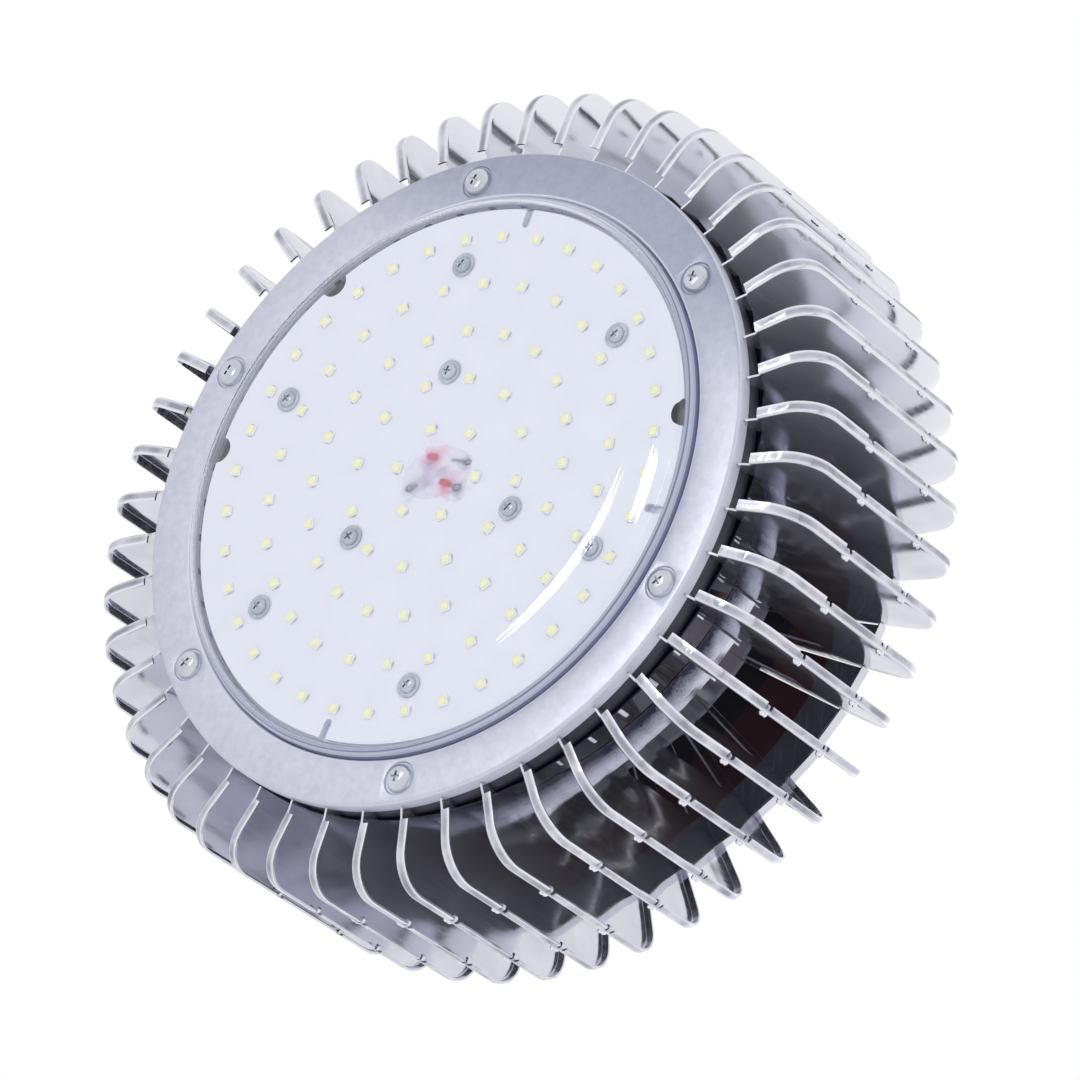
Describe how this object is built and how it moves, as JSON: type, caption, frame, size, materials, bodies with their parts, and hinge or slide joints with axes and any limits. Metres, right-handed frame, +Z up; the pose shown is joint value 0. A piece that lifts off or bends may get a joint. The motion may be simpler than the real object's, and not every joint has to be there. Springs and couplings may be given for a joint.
{
  "type": "high bay light",
  "caption": "Round high bay LED lamp: a ring of folded sheet fins around a base plate, an LED board under a clear domed lens, a screwed bezel and a threaded hanging boss.",
  "frame": {"origin": "centre of the top face of the threaded hanging boss, from which the lamp hangs", "axes": "+Z up along the lamp's axis and out of the hanging hole, the lens faces -Z, +X through the cable gland"},
  "size_m": [0.228, 0.228, 0.103],
  "materials": {
    "fin_aluminium": "bright rolled sheet, nearly mirror smooth",
    "plate_aluminium": "turned face, fine rings",
    "bezel_aluminium": "satin, finely grained",
    "lens_clear": "clear moulded polycarbonate",
    "gasket_rubber": "moulded silicone rubber",
    "board_white": "white solder mask over an aluminium core",
    "led_phosphor": "pale yellow phosphor in a white frame",
    "joint_silicone": "milky silicone sealant",
    "wire_red": "silicone insulation",
    "standoff_steel": "turned, zinc plated",
    "screw_zinc": "zinc plated, bright",
    "gland_nylon": "moulded nylon"
  },
  "bodies": {
    "root": {"fin_pair_01": "fin_aluminium", "fin_pair_02": "fin_aluminium", "fin_pair_03": "fin_aluminium", "fin_pair_04": "fin_aluminium", "fin_pair_05": "fin_aluminium", "fin_pair_06": "fin_aluminium", "fin_pair_07": "fin_aluminium", "fin_pair_08": "fin_aluminium", "fin_pair_09": "fin_aluminium", "fin_pair_10": "fin_aluminium", "fin_pair_11": "fin_aluminium", "fin_pair_12": "fin_aluminium", "fin_pair_13": "fin_aluminium", "fin_pair_14": "fin_aluminium", "fin_pair_15": "fin_aluminium", "fin_pair_16": "fin_aluminium", "fin_pair_17": "fin_aluminium", "fin_pair_18": "fin_aluminium", "fin_pair_19": "fin_aluminium", "fin_pair_20": "fin_aluminium", "fin_pair_21": "fin_aluminium", "fin_pair_22": "fin_aluminium", "fin_pair_23": "fin_aluminium", "fin_pair_24": "fin_aluminium", "base_plate": "plate_aluminium", "bezel_ring": "bezel_aluminium", "lens_dome": "lens_clear", "lens_gasket": "gasket_rubber", "led_board": "board_white", "led_packages": "led_phosphor", "wire_joint": "joint_silicone", "lead_wires": "wire_red", "standoffs": "standoff_steel", "rear_disc": "plate_aluminium", "disc_screws": "screw_zinc", "cable_gland": "gland_nylon", "board_screws": "screw_zinc", "bezel_screws": "screw_zinc"}
  },
  "joints": []
}
